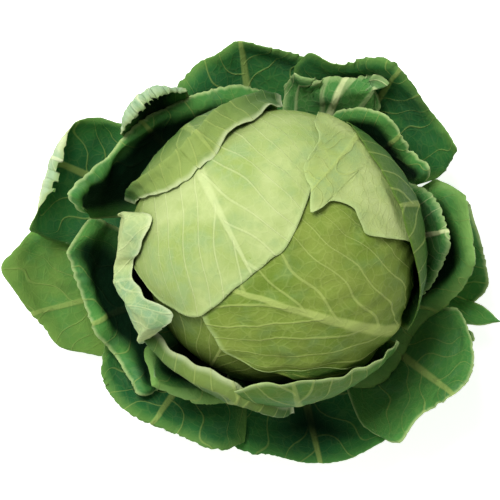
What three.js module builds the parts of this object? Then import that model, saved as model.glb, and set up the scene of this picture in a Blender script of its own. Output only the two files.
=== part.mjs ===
// A white cabbage standing on its cut stem: the packed heart, the leaves that lie on the head,
// and the loose leaves round it. Millimetres, +Z up, origin at the centre of the cut face.
import * as THREE from "three";

// Driving dimensions.
const HEAD_RADIUS = 84;
const HEAD_HALF_HEIGHT = 77.5;
const HEAD_CENTRE = 106;
const STUMP_RADIUS = 20;
const STUMP_TOP = 35.5;

// Leaves on the head lie on nested shells. The peaked leaf's shell has the head's own size.
const SHELL_STEP = 2.3;
const SHELL_THICKNESS = 1.1;
const HEAD_SHELL = 4;
const HEART_GAP = 0.6;
const HEART_INSET = HEAD_SHELL * SHELL_STEP + SHELL_THICKNESS + HEART_GAP;

// Loose leaves lie on nested bowls round the head: bowl 0 is the lowest and widest.
const BLADE_THICKNESS = 1.3;
const STEM_GAP = 0.9;
const LOWEST_BASE = 4;
const BASE_RISE = 19;
const BOWL_SPREAD = 1.6;

// Mesh density.
const LOOSE_COLUMNS = 10;
const HEAD_COLUMNS = 14;
const BOWL_ROWS = 8;
const SHELL_ROW_DEGREES = 11;
const HEART_SEGMENTS = 36;
const HEART_ROWS = 16;

// A leaf starts this share of its rim's width wide at the stem.
const BASE_WIDTH = 0.4;
const SHELL_BASE_WIDTH = 12;

const GREENS = {
  pale: 0xc3d48e,
  yellow: 0x9fb85a,
  mid: 0x5f8f45,
  fresh: 0x4f8a48,
  dark: 0x2b6a3a,
  deep: 0x1f5534,
  stem: 0xd9dcae,
};

// Leaves on the head. Each grows up the side of the head at its azimuth. Its rim goes round the
// free edge as pairs of degrees: across the leaf, and along it from the head's lowest point.
const HEAD_LEAVES = [
  {
    name: "head_leaf_right",
    azimuth: -20,
    shell: 2,
    green: "yellow",
    rim: [[-30, 95], [-38, 129], [-48, 148], [-52, 168], [-48, 190], [-30, 206], [-8, 200],
      [12, 190], [28, 175], [36, 150], [38, 120], [36, 95]],
  },
  {
    name: "head_leaf_left",
    azimuth: 118,
    shell: 3,
    green: "pale",
    rim: [[-47, 94], [-40, 122], [-29, 148], [-20, 165], [-7, 178], [5, 181], [19, 184],
      [34, 188], [46, 188], [58, 168], [62, 140], [62, 108]],
  },
  {
    name: "head_leaf_peaked",
    azimuth: 45,
    shell: HEAD_SHELL,
    green: "yellow",
    rim: [[-30, 93], [-30, 124], [-18, 148], [-8, 146], [0, 158], [10, 150], [17, 141],
      [19, 131], [26, 117], [28, 94]],
  },
  {
    name: "head_leaf_edge_right",
    azimuth: 10,
    shell: 5,
    green: "mid",
    rim: [[-40, 88], [-33, 95], [-23, 105], [-11, 116], [1, 121], [19, 122], [29, 121], [38, 119],
      [47, 106], [52, 92]],
  },
  {
    name: "head_leaf_bottom",
    azimuth: -75,
    shell: 6,
    green: "mid",
    rim: [[-38, 92], [-32, 112], [-21, 124], [-6, 123], [10, 119], [28, 109], [40, 92]],
  },
  {
    name: "curled_leaf_lower_left",
    azimuth: 235,
    shell: 7,
    green: "fresh",
    rim: [[-28, 92], [-13, 105], [2, 114], [14, 117], [24, 112], [34, 111], [42, 94]],
  },
  {
    name: "curled_leaf_left",
    azimuth: 190,
    shell: 8,
    green: "pale",
    rim: [[-24, 92], [-21, 121], [-13, 117], [-6, 106], [4, 114], [14, 130], [20, 122], [24, 92]],
  },
  {
    name: "curled_leaf_upper_left",
    azimuth: 135,
    shell: 9,
    green: "yellow",
    rim: [[-48, 90], [-44, 101], [-34, 117], [-23, 122], [-11, 129], [0, 131], [10, 127],
      [19, 114], [25, 92]],
  },
];

// Loose leaves, by the bowl that each lies on. The rim gives azimuth in degrees and the distance
// from the stem's axis in head radii.
const LOOSE_LEAVES = [
  {
    name: "outer_leaf_left",
    bowl: 0.02,
    green: "dark",
    rim: [[171, 1.42], [174, 1.68], [182, 1.85], [190, 1.8], [197, 1.7], [203, 1.65],
      [208, 1.5], [213, 1.3]],
  },
  {
    name: "outer_leaf_far_right",
    bowl: 0.2,
    green: "fresh",
    rim: [[-27, 1.3], [-22, 1.5], [-17, 1.6], [-12, 1.5], [-8, 1.5], [-2, 1.47], [2, 1.44],
      [10, 1.41], [16, 1.4], [20, 1.28]],
  },
  {
    name: "outer_leaf_bottom",
    bowl: 0.24,
    green: "deep",
    rim: [[-107, 1.3], [-98, 1.41], [-90, 1.41], [-82, 1.45], [-73, 1.5], [-65, 1.52],
      [-58, 1.5], [-53, 1.36]],
  },
  {
    name: "outer_leaf_top",
    bowl: 0.27,
    green: "dark",
    rim: [[79, 1.3], [82, 1.41], [88, 1.48], [94, 1.51], [99, 1.51], [106, 1.46], [113, 1.43],
      [120, 1.36], [126, 1.24]],
  },
  {
    name: "outer_leaf_upper_left",
    bowl: 0.15,
    green: "deep",
    rim: [[135, 1.26], [139, 1.42], [145, 1.6], [152, 1.6], [157, 1.58], [163, 1.61],
      [169, 1.66], [174, 1.68], [178, 1.45]],
  },
  {
    name: "outer_leaf_lower_right",
    bowl: 0.36,
    green: "fresh",
    rim: [[-63, 1.32], [-58, 1.5], [-47, 1.5], [-38, 1.55], [-30, 1.54], [-24, 1.49],
      [-17, 1.34]],
  },
  {
    name: "outer_leaf_bottom_left",
    bowl: 0.36,
    green: "dark",
    rim: [[207, 1.3], [213, 1.42], [221, 1.44], [230, 1.46], [238, 1.43], [245, 1.415],
      [254, 1.42], [261, 1.3]],
  },
  {
    name: "outer_leaf_top_right",
    bowl: 0.38,
    green: "dark",
    rim: [[25, 1.3], [29, 1.42], [35, 1.43], [41, 1.44], [52, 1.51], [60, 1.54], [67, 1.47],
      [74, 1.43], [80, 1.42], [84, 1.3]],
  },
  {
    name: "outer_leaf_roll",
    bowl: 0.46,
    green: "pale",
    rim: [[118, 1.28], [124, 1.37], [131, 1.41], [136, 1.4], [142, 1.3]],
  },
  {
    name: "wrapper_leaf_left",
    bowl: 0.5,
    green: "fresh",
    rim: [[169, 1.3], [178, 1.4], [184, 1.4], [189, 1.38], [200, 1.35], [212, 1.32],
      [220, 1.33], [226, 1.35], [231, 1.22]],
  },
  {
    name: "wrapper_leaf_fan",
    bowl: 0.56,
    green: "mid",
    rim: [[53, 1.24], [58, 1.35], [61, 1.37], [66, 1.34], [71, 1.31], [76, 1.28], [81, 1.28],
      [87, 1.18]],
  },
  {
    name: "wrapper_leaf_upper_left",
    bowl: 0.58,
    green: "fresh",
    rim: [[94, 1.12], [104, 1.19], [112, 1.22], [118, 1.24], [127, 1.28], [135, 1.31],
      [143, 1.33], [151, 1.34], [158, 1.36], [164, 1.36], [169, 1.26]],
  },
  {
    name: "wrapper_leaf_right",
    bowl: 0.64,
    green: "mid",
    rim: [[-82, 1.06], [-70, 1.1], [-60, 1.12], [-50, 1.18], [-40, 1.18], [-28, 1.2],
      [-20, 1.24], [-12, 1.3], [-4, 1.31], [4, 1.31], [12, 1.31], [20, 1.28], [25, 1.18]],
  },
  {
    name: "wrapper_leaf_small",
    bowl: 0.78,
    green: "mid",
    rim: [[26, 1.1], [29, 1.18], [36, 1.18], [44, 1.19], [52, 1.2], [60, 1.16], [67, 1.08]],
  },
  {
    name: "wrapper_leaf_bottom",
    bowl: 0.84,
    green: "fresh",
    rim: [[216, 1.08], [226, 1.17], [241, 1.15], [252, 1.11], [262, 1.09], [270, 1.1],
      [277, 1.09], [285, 1.04]],
  },
  {
    name: "wrapper_leaf_inner_right",
    bowl: 0.9,
    green: "pale",
    rim: [[-17, 1.03], [-12, 1.08], [-6, 1.12], [4, 1.14], [11, 1.14], [17, 1.13], [22, 1.13],
      [28, 1.06]],
  },
];

function radians(degrees) {
  return THREE.MathUtils.degToRad(degrees);
}

function mix(from, to, share) {
  return THREE.MathUtils.lerp(from, to, share);
}

// A point at a distance from the stem's axis, an azimuth in degrees and a height.
function around(distance, azimuth, height) {
  const angle = radians(azimuth);
  return new THREE.Vector3(distance * Math.cos(angle), distance * Math.sin(angle), height);
}

// The meridian of one bowl, from the stem out under the head and up to its top.
function bowlMeridian(bowl) {
  const spread = (1 - bowl) ** BOWL_SPREAD;
  return new THREE.CubicBezierCurve(
    new THREE.Vector2(STUMP_RADIUS + STEM_GAP, LOWEST_BASE + BASE_RISE * bowl),
    new THREE.Vector2(77 + 23 * spread, 2 + 15.5 * bowl),
    new THREE.Vector2(93 + 57 * spread, 12 + 58 * bowl),
    new THREE.Vector2(98 + 74 * spread, 100 + 70 * bowl ** 0.7),
  );
}

// The share of a meridian at which it reaches a distance from the axis.
function shareAt(meridian, distance) {
  let low = 0;
  let high = 1;
  for (let step = 0; step < 24; step += 1) {
    const middle = (low + high) / 2;
    if (meridian.getPoint(middle).x < distance) {
      low = middle;
    } else {
      high = middle;
    }
  }
  return high;
}

function rimCurve(rim) {
  return new THREE.SplineCurve(rim.map(([first, second]) => new THREE.Vector2(first, second)));
}

// The middle surface of a loose leaf: across and along run from 0 to 1.
function looseSurface({ bowl, rim }) {
  const meridian = bowlMeridian(bowl);
  const edge = rimCurve(rim);
  const middle = (rim[0][0] + rim[rim.length - 1][0]) / 2;
  return (across, along) => {
    const tip = edge.getPoint(across);
    const share = along * shareAt(meridian, tip.y * HEAD_RADIUS);
    const place = meridian.getPoint(share);
    const widening = mix(BASE_WIDTH, 1, Math.sin((Math.PI / 2) * along));
    return around(place.x, middle + (tip.x - middle) * widening, place.y);
  };
}

// The middle surface of a leaf on the head: across and along run from 0 to 1.
function headSurface({ azimuth, shell, rim }) {
  const edge = rimCurve(rim);
  const grow = (shell - HEAD_SHELL) * SHELL_STEP - SHELL_THICKNESS / 2;
  const radius = HEAD_RADIUS + grow;
  const halfHeight = HEAD_HALF_HEIGHT + grow;
  const start = THREE.MathUtils.radToDeg(Math.asin((STUMP_RADIUS + 2) / radius));
  return (across, along) => {
    const tip = edge.getPoint(across);
    const base = mix(-SHELL_BASE_WIDTH, SHELL_BASE_WIDTH, across);
    const side = radians(mix(base, tip.x, Math.sin((Math.PI / 2) * along)));
    const climb = radians(mix(start, tip.y, along));
    const point = new THREE.Vector3(
      radius * Math.cos(side) * Math.sin(climb),
      radius * Math.sin(side),
      -halfHeight * Math.cos(side) * Math.cos(climb),
    );
    point.applyAxisAngle(new THREE.Vector3(0, 0, 1), radians(azimuth));
    point.z += HEAD_CENTRE;
    return point;
  };
}

// The unit normal of a surface, from its neighbours inside the leaf.
function surfaceNormal(surface, across, along) {
  const step = 0.01;
  const left = surface(Math.max(across - step, 0), along);
  const right = surface(Math.min(across + step, 1), along);
  const below = surface(across, Math.max(along - step, 0));
  const above = surface(across, Math.min(along + step, 1));
  return right.sub(left).cross(above.sub(below)).normalize();
}

// One closed sheet of even thickness about a middle surface.
function sheetGeometry(surface, thickness, columns, rows) {
  const positions = [];
  for (const side of [0.5, -0.5]) {
    for (let row = 0; row <= rows; row += 1) {
      for (let column = 0; column <= columns; column += 1) {
        const across = column / columns;
        const along = row / rows;
        const normal = surfaceNormal(surface, across, along);
        const point = surface(across, along).addScaledVector(normal, side * thickness);
        positions.push(point.x, point.y, point.z);
      }
    }
  }
  const width = columns + 1;
  const below = width * (rows + 1);
  const indices = [];
  const quad = (a, b, c, d) => indices.push(a, b, c, a, c, d);
  for (let row = 0; row < rows; row += 1) {
    for (let column = 0; column < columns; column += 1) {
      const corner = row * width + column;
      quad(corner, corner + 1, corner + width + 1, corner + width);
      quad(below + corner, below + corner + width, below + corner + width + 1, below + corner + 1);
    }
  }
  const wall = (from, to) => quad(from, below + from, below + to, to);
  for (let column = 0; column < columns; column += 1) {
    wall(column, column + 1);
    wall(rows * width + column + 1, rows * width + column);
  }
  for (let row = 0; row < rows; row += 1) {
    wall((row + 1) * width, row * width);
    wall(row * width + columns, (row + 1) * width + columns);
  }
  const geometry = new THREE.BufferGeometry();
  geometry.setAttribute("position", new THREE.Float32BufferAttribute(positions, 3));
  geometry.setIndex(indices);
  geometry.computeVertexNormals();
  return geometry;
}

function named(name, geometry, green) {
  const material = new THREE.MeshStandardMaterial({
    color: GREENS[green],
    roughness: 0.5,
    metalness: 0,
  });
  const mesh = new THREE.Mesh(geometry, material);
  mesh.name = name;
  return mesh;
}

// The packed heart: a closed egg, a little flattened.
function makeHeart() {
  const radius = HEAD_RADIUS - HEART_INSET;
  const halfHeight = HEAD_HALF_HEIGHT - HEART_INSET;
  const profile = [];
  for (let row = 0; row <= HEART_ROWS; row += 1) {
    const angle = (Math.PI * row) / HEART_ROWS;
    const distance = row === 0 || row === HEART_ROWS ? 0 : radius * Math.sin(angle);
    profile.push(new THREE.Vector2(distance, -halfHeight * Math.cos(angle)));
  }
  const geometry = new THREE.LatheGeometry(profile, HEART_SEGMENTS);
  geometry.rotateX(Math.PI / 2);
  const heart = named("heart", geometry, "yellow");
  heart.position.z = HEAD_CENTRE;
  return heart;
}

// The cut stem: a flat face to stand on, a slight waist and a rounded top under the heart.
function makeStump() {
  const outline = [
    [0, 0],
    [STUMP_RADIUS - 0.8, 0],
    [STUMP_RADIUS - 0.2, 0.8],
    [STUMP_RADIUS - 0.4, 8],
    [STUMP_RADIUS, 22],
    [STUMP_RADIUS - 1, 31],
    [STUMP_RADIUS - 5, STUMP_TOP],
    [0, STUMP_TOP],
  ];
  const profile = outline.map(([distance, height]) => new THREE.Vector2(distance, height));
  const geometry = new THREE.LatheGeometry(profile, HEART_SEGMENTS);
  geometry.rotateX(Math.PI / 2);
  return named("stump", geometry, "stem");
}

function makeHeadLeaf(leaf) {
  const longest = Math.max(...leaf.rim.map(([, climb]) => climb));
  const rows = Math.ceil(longest / SHELL_ROW_DEGREES);
  const geometry = sheetGeometry(headSurface(leaf), SHELL_THICKNESS, HEAD_COLUMNS, rows);
  return named(leaf.name, geometry, leaf.green);
}

function makeLooseLeaf(leaf) {
  const geometry = sheetGeometry(looseSurface(leaf), BLADE_THICKNESS, LOOSE_COLUMNS, BOWL_ROWS);
  return named(leaf.name, geometry, leaf.green);
}

const cabbage = new THREE.Group();
cabbage.name = "white_cabbage";
cabbage.add(makeStump(), makeHeart());
cabbage.add(...HEAD_LEAVES.map(makeHeadLeaf));
cabbage.add(...LOOSE_LEAVES.map(makeLooseLeaf));

export default cabbage;
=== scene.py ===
"""A white cabbage standing on its cut stem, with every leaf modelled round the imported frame.

Lengths are in metres. Loose leaves lie on nested bowls round the head and leaves on the head lie
on nested shells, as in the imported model, so each one stands exactly where its solid stands.
"""

import logging
import math
from dataclasses import dataclass, field
from enum import Enum
from typing import Iterable, Optional, Union

import bpy
import numpy as np
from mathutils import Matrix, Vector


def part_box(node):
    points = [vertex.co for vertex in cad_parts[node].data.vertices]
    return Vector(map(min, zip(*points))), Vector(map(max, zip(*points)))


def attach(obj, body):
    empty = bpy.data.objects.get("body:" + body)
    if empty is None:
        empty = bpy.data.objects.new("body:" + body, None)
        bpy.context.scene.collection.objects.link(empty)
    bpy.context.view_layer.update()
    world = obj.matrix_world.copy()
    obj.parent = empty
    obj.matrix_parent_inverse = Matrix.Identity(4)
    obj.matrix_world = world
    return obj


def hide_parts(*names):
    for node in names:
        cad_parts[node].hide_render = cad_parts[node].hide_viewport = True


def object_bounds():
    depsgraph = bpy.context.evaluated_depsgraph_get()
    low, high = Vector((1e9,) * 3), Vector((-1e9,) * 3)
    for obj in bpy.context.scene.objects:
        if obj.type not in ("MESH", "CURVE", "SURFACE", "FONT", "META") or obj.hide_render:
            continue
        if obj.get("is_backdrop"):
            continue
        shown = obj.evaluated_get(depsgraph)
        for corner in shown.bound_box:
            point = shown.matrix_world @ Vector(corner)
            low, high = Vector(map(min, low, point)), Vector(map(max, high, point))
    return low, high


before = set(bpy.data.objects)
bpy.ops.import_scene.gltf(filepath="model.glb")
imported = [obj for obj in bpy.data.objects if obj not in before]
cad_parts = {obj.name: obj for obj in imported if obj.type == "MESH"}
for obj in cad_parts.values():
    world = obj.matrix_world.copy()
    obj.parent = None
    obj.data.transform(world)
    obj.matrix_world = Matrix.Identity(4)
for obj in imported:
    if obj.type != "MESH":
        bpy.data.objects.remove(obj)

CAD_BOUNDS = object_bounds()
LOG = logging.getLogger("cabbage")

MM = 0.001
CM = 0.01
Pairs = tuple[tuple[float, ...], ...]


def srgb(red: int, green: int, blue: int) -> tuple[float, float, float, float]:
    """Turn a display colour into the linear colour that a shader takes.

    Args:
        red: Red from 0 to 255.
        green: Green from 0 to 255.
        blue: Blue from 0 to 255.

    Returns:
        The linear colour with full alpha.
    """
    def linear(part: int) -> float:
        """One channel, linear."""
        share = part / 255
        return share / 12.92 if share <= 0.04045 else ((share + 0.055) / 1.055) ** 2.4

    return linear(red), linear(green), linear(blue), 1.0


class Greens(Enum):
    """The plant's colours, by where they show."""

    WHITE_GREEN = srgb(212, 222, 176)
    PALE = srgb(184, 198, 134)
    PALE_SHADE = srgb(150, 170, 94)
    YELLOW = srgb(130, 148, 66)
    YELLOW_SHADE = srgb(104, 130, 48)
    OLIVE = srgb(98, 128, 50)
    # The next two greens are the darker, yellower tone of the head's sides. Laid on by height, they
    # also paint the shade that falls down those sides. The first also mottles the outer head leaf.
    FLANK = srgb(72, 102, 38)
    FLANK_DARK_AND_SHADE = srgb(46, 88, 40)
    LIGHT = srgb(116, 152, 72)
    FRESH = srgb(80, 136, 64)
    GRASS = srgb(58, 118, 58)
    DARK = srgb(40, 98, 54)
    # Painted shade: near-black green for the shadow deep between the head and the leaves round it.
    PAINTED_SHADE = srgb(9, 32, 20)
    BLOOM = srgb(138, 172, 134)
    UNDERSIDE = srgb(122, 156, 104)
    VEIN = srgb(148, 172, 92)
    HEAD_VEIN = srgb(170, 186, 104)
    PALE_VEIN = srgb(208, 220, 158)
    # A pale leaf edge that also stands in for painted highlight on thin rims.
    RIM = srgb(178, 200, 132)
    EDGE = srgb(136, 174, 92)
    STEM = srgb(222, 222, 178)
    STEM_SHADE = srgb(188, 180, 124)
    CUT = srgb(226, 214, 168)


# --- Shader expressions ------------------------------------------------------------------------


@dataclass(frozen=True)
class Value:
    """A number or a colour that varies over a surface, held as a shader node's output."""

    graph: "Graph"
    socket: bpy.types.NodeSocket

    def __add__(self, other: "Number") -> "Value":
        """Add."""
        return self.graph.maths("ADD", self, other)

    def __radd__(self, other: "Number") -> "Value":
        """Add, from the right."""
        return self.graph.maths("ADD", other, self)

    def __sub__(self, other: "Number") -> "Value":
        """Subtract."""
        return self.graph.maths("SUBTRACT", self, other)

    def __rsub__(self, other: "Number") -> "Value":
        """Subtract, from the right."""
        return self.graph.maths("SUBTRACT", other, self)

    def __mul__(self, other: "Number") -> "Value":
        """Multiply."""
        return self.graph.maths("MULTIPLY", self, other)

    def __rmul__(self, other: "Number") -> "Value":
        """Multiply, from the right."""
        return self.graph.maths("MULTIPLY", other, self)

    def __truediv__(self, other: "Number") -> "Value":
        """Divide."""
        return self.graph.maths("DIVIDE", self, other)

    def __abs__(self) -> "Value":
        """The size without the sign."""
        return self.graph.maths("ABSOLUTE", self)

    def __gt__(self, other: "Number") -> "Value":
        """One where greater, else nought."""
        return self.graph.maths("GREATER_THAN", self, other)

    def __round__(self, digits: Optional[int] = None) -> "Value":
        """The nearest whole number."""
        return self.graph.maths("ROUND", self)

    def sine(self) -> "Value":
        """The sine of an angle in radians."""
        return self.graph.maths("SINE", self)

    def most(self, other: "Number") -> "Value":
        """The greater of two numbers."""
        return self.graph.maths("MAXIMUM", self, other)

    def rise(self, low: "Number", high: "Number") -> "Value":
        """A smooth rise from nought at low to one at high.

        Args:
            low: Where the rise starts.
            high: Where the rise ends.

        Returns:
            The share risen, from 0 to 1.
        """
        return self.graph.value(
            "ShaderNodeMapRange",
            {"interpolation_type": "SMOOTHSTEP"},
            {"Value": self, "From Min": low, "From Max": high},
        )


Number = Union[Value, float]


class Graph:
    """The node tree of one material."""

    def __init__(self, name: str) -> None:
        """Start a material with an empty tree.

        Args:
            name: The material's name.
        """
        self.material = bpy.data.materials.new(name)
        self.material.use_nodes = True
        self.tree = self.material.node_tree
        self.tree.nodes.clear()

    def node(self, kind: str, settings: Optional[dict] = None,
             sockets: Optional[dict] = None) -> bpy.types.Node:
        """Add a node.

        Args:
            kind: The node's type.
            settings: Its settings by name, set before its sockets.
            sockets: Its inputs by name or number, each a value or a link.

        Returns:
            The new node.
        """
        made = self.tree.nodes.new(kind)
        for name, setting in (settings or {}).items():
            setattr(made, name, setting)
        for key, given in (sockets or {}).items():
            target = made.inputs[key]
            if isinstance(given, Value):
                self.tree.links.new(given.socket, target)
            else:
                target.default_value = given
        return made

    def value(self, kind: str, settings: Optional[dict] = None, sockets: Optional[dict] = None,
              output: Union[int, str] = 0) -> Value:
        """Add a node and take one of its outputs.

        Args:
            kind: The node's type.
            settings: Its settings by name.
            sockets: Its inputs by name or number.
            output: The output's name or number.

        Returns:
            The output.
        """
        return Value(self, self.node(kind, settings, sockets).outputs[output])

    def maths(self, operation: str, *numbers: Number) -> Value:
        """Add a Math node for an operation on one or two numbers."""
        return self.value("ShaderNodeMath", {"operation": operation}, dict(enumerate(numbers)))

    def blend(self, share: Number, low: object, high: object) -> Value:
        """Mix two colours.

        Args:
            share: The share of the second colour.
            low: The first colour, or a link to it.
            high: The second colour, or a link to it.

        Returns:
            The mixed colour.
        """
        return self.value("ShaderNodeMix", {"data_type": "RGBA"}, {0: share, 6: low, 7: high}, 2)

    def noise(self, place: Value, scale: float, detail: float = 3.0) -> Value:
        """Soft noise from 0 to 1 at a place, with so many bumps a metre or centimetre."""
        sockets = {"Vector": place, "Scale": scale, "Detail": detail}
        return self.value("ShaderNodeTexNoise", None, sockets)

    def parts(self, vector: Value) -> tuple[Value, ...]:
        """The three numbers of a vector."""
        split = self.node("ShaderNodeSeparateXYZ", None, {0: vector})
        return tuple(Value(self, output) for output in split.outputs)

    def finish(self, colour: Value, roughness: Number, height: Value, depth: float,
               fixed: Optional[dict] = None) -> bpy.types.Material:
        """Close the tree with a shader.

        Args:
            colour: The surface's colour.
            roughness: The surface's roughness.
            height: The height of its fine relief, from 0 to 1.
            depth: How deep that relief is, in metres.
            fixed: Other shader sockets that are the same all over.

        Returns:
            The finished material.
        """
        relief = self.value("ShaderNodeBump", None,
                            {"Strength": 0.7, "Distance": depth, "Height": height})
        sockets = {"Base Color": colour, "Roughness": roughness, "Normal": relief}
        shader = self.value("ShaderNodeBsdfPrincipled", None, sockets | (fixed or {}))
        self.node("ShaderNodeOutputMaterial", None, {"Surface": shader})
        return self.material


# --- Veins and finishes ------------------------------------------------------------------------


@dataclass(frozen=True)
class Veins:
    """How a leaf's ribs run. Lengths are in centimetres, across from and along the midrib."""

    spacing: float = 1.7
    slope: float = 1.1
    bend: float = 0.05
    width: float = 0.11
    rib_base: float = 0.5
    rib_tip: float = 0.12
    wander: float = 0.14
    phase: float = 0.0
    shift: float = 0.0

    def warp(self, across: object, along: object, sine: object) -> object:
        """How far the side veins wander, in spacings.

        Args:
            across: Distance from the midrib.
            along: Distance along the midrib.
            sine: The sine function for the kind of number given.

        Returns:
            The wander, for numbers, arrays or shader values alike.
        """
        long_wave = sine(along * 1.3 + across * 0.9 + self.phase)
        short_wave = sine(across * 2.3 - along * 0.7 + 2.1 * self.phase)
        return (long_wave + short_wave * 0.6) * self.wander

    def ridge(self, across: np.ndarray, along: np.ndarray, share: np.ndarray) -> np.ndarray:
        """The relief of the ribs over a leaf.

        Args:
            across: Distance from the midrib at each point.
            along: Distance along the midrib at each point.
            share: The share of the way to the rim at each point.

        Returns:
            The height from 0 to 1 at each point.
        """
        across = across - self.shift
        side = np.abs(across)
        row = (along - side * self.slope - side * side * self.bend) / self.spacing
        row = row + (across > 0) * 0.45 + self.warp(across, along, np.sin)
        away = np.abs(row - np.round(row)) * self.spacing / math.hypot(1, self.slope)
        fine = np.exp(-((away / (self.width * 1.3)) ** 2)) * np.exp(-side * 0.16)
        rib_width = self.rib_base * (1 - share) + self.rib_tip * share
        rib = np.exp(-((side / rib_width) ** 2))
        return np.maximum(rib, 0.5 * fine)

    def masks(self, graph: Graph, across: Value, along: Value,
              share: Value) -> tuple[Value, Value]:
        """The midrib and the side veins as shader masks.

        Args:
            graph: The material's tree.
            across: Distance from the midrib.
            along: Distance along the midrib.
            share: The share of the way to the rim.

        Returns:
            The midrib's mask and the side veins' mask, from 0 to 1.
        """
        across = across - self.shift
        side = abs(across)
        row = (along - side * self.slope - side * side * self.bend) * (1 / self.spacing)
        row = row + (across > 0.0) * 0.45 + self.warp(across, along, Value.sine)
        away = abs(row - round(row)) * (self.spacing / math.hypot(1, self.slope))
        width = (self.width * 1.25 - side * 0.012).most(0.03)
        fine = 1 - away.rise(width * 0.35, width)
        rib_width = self.rib_base - share * (self.rib_base - self.rib_tip)
        rib = 1 - side.rise(rib_width * 0.45, rib_width)
        return rib, fine


@dataclass(frozen=True)
class LeafFinish:
    """The look of one face of a leaf."""

    blade: Greens
    shade: Greens
    vein: Greens
    margin: Greens
    bloom: float = 0.12
    side_veins: float = 0.75
    net: float = 0.35
    # Pale band along the rim: partly the leaf's paler edge, partly painted highlight where thin
    # rims catch the light.
    margin_width: float = 0.5
    margin_and_highlight_share: float = 0.55
    gloss: float = 0.42
    rib_share: float = 0.8
    bumps: float = 0.35
    # Painted shade: how strongly the blade darkens to near-black away from the rim, and the
    # distances in centimetres over which it darkens.
    painted_shade: float = 0.0
    painted_shade_from: float = 3.0
    painted_shade_to: float = 7.0
    # Partly the leaf's own tone, partly painted shade: the green the blade darkens to low on the
    # head's sides, and how much.
    flank_tone_and_shade: Greens = Greens.FLANK
    flank_tone_and_shade_share: float = 0.0

    def make(self, name: str, veins: Veins) -> bpy.types.Material:
        """Build the material.

        Args:
            name: The material's name.
            veins: How the leaf's ribs run.

        Returns:
            The material.
        """
        graph = Graph(name)
        place = graph.value("ShaderNodeTexCoord", output="Object")
        leaf = graph.value("ShaderNodeUVMap", {"uv_map": "leaf"})
        edge = graph.value("ShaderNodeUVMap", {"uv_map": "edge"})
        across, along, _ = graph.parts(leaf)
        rim, share, _ = graph.parts(edge)
        height_up = graph.parts(place)[2]
        rib, fine = veins.masks(graph, across, along, share)
        wide = graph.noise(place, 26.0)
        patch = graph.noise(place, 95.0, 4.0)
        speck = graph.noise(place, 620.0, 2.0)
        bent = graph.value("ShaderNodeVectorMath", {"operation": "ADD"},
                           {0: leaf, 1: graph.value("ShaderNodeTexNoise", None,
                                                    {"Vector": place, "Scale": 60.0}, "Color")})
        cells = graph.value("ShaderNodeTexVoronoi", {"feature": "DISTANCE_TO_EDGE"},
                            {"Vector": bent, "Scale": 1.5}, "Distance")
        small = graph.value("ShaderNodeTexVoronoi", {"feature": "DISTANCE_TO_EDGE"},
                            {"Vector": bent, "Scale": 4.5}, "Distance")
        net = (1 - cells.rise(0.02, 0.10)) * 0.7 + (1 - small.rise(0.02, 0.14)) * 0.3
        colour = graph.blend(wide.rise(0.35, 0.68), self.blade.value, self.shade.value)
        colour = graph.blend(patch.rise(0.4, 0.75) * 0.5, colour, self.shade.value)
        colour = graph.blend((wide * patch).rise(0.22, 0.42) * self.bloom, colour,
                             Greens.BLOOM.value)
        colour = graph.blend(net * self.net * 0.5, colour, self.vein.value)
        # Darker and yellower low on the head: partly the leaves' own tone, partly painted shade
        # where the sides turn away from the light.
        if self.flank_tone_and_shade_share:
            low = 1 - (height_up + wide * 0.03).rise(0.112, 0.186)
            colour = graph.blend(low * self.flank_tone_and_shade_share, colour, self.flank_tone_and_shade.value)
        # Pale band along the rim: partly the leaf's paler edge, partly painted highlight on thin
        # rims.
        margin_and_highlight_band = 1 - rim.rise(0.0, self.margin_width)
        colour = graph.blend(margin_and_highlight_band * (patch * 0.6 + 0.6) * self.margin_and_highlight_share, colour,
                             self.margin.value)
        colour = graph.blend(fine * self.side_veins, colour, self.vein.value)
        colour = graph.blend(rib * self.rib_share, colour, self.vein.value)
        # Painted shade: darken the blade to near-black further from the rim, where shadow falls
        # deep between the leaves.
        if self.painted_shade:
            deep = (rim + wide * 0.8 - 0.4).rise(self.painted_shade_from, self.painted_shade_to)
            colour = graph.blend(deep * self.painted_shade, colour, Greens.PAINTED_SHADE.value)
        height = fine * 0.45 + rib * 0.35 + net * 0.22 + speck * 0.14 + patch * self.bumps
        roughness = self.gloss + patch * 0.22 - fine * 0.05
        return graph.finish(colour, roughness, height, 0.9 * MM, {"Specular IOR Level": 0.02})


PALE_HEAD = LeafFinish(Greens.PALE, Greens.PALE_SHADE, Greens.PALE_VEIN, Greens.RIM,
                       bloom=0.3, side_veins=0.34, net=0.22, gloss=0.34, rib_share=0.45,
                       bumps=0.6,
                       flank_tone_and_shade=Greens.YELLOW_SHADE, flank_tone_and_shade_share=0.85)
PEAK_HEAD = LeafFinish(Greens.PALE, Greens.PALE_SHADE, Greens.HEAD_VEIN, Greens.RIM, bloom=0.3,
                       side_veins=0.4, net=0.6, gloss=0.36, rib_share=0.5, bumps=1.4,
                       flank_tone_and_shade=Greens.YELLOW_SHADE, flank_tone_and_shade_share=0.4)
YELLOW_HEAD = LeafFinish(Greens.YELLOW, Greens.YELLOW_SHADE, Greens.HEAD_VEIN, Greens.RIM,
                         bloom=0.16, side_veins=0.5, net=0.45, gloss=0.34, rib_share=0.75,
                         bumps=1.2,
                         flank_tone_and_shade=Greens.FLANK, flank_tone_and_shade_share=0.8)
GREEN_HEAD = LeafFinish(Greens.OLIVE, Greens.FLANK, Greens.HEAD_VEIN, Greens.OLIVE, bloom=0.06,
                        side_veins=0.35, net=0.3, gloss=0.36, rib_share=0.4,
                        flank_tone_and_shade=Greens.FLANK_DARK_AND_SHADE, flank_tone_and_shade_share=0.95)
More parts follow.
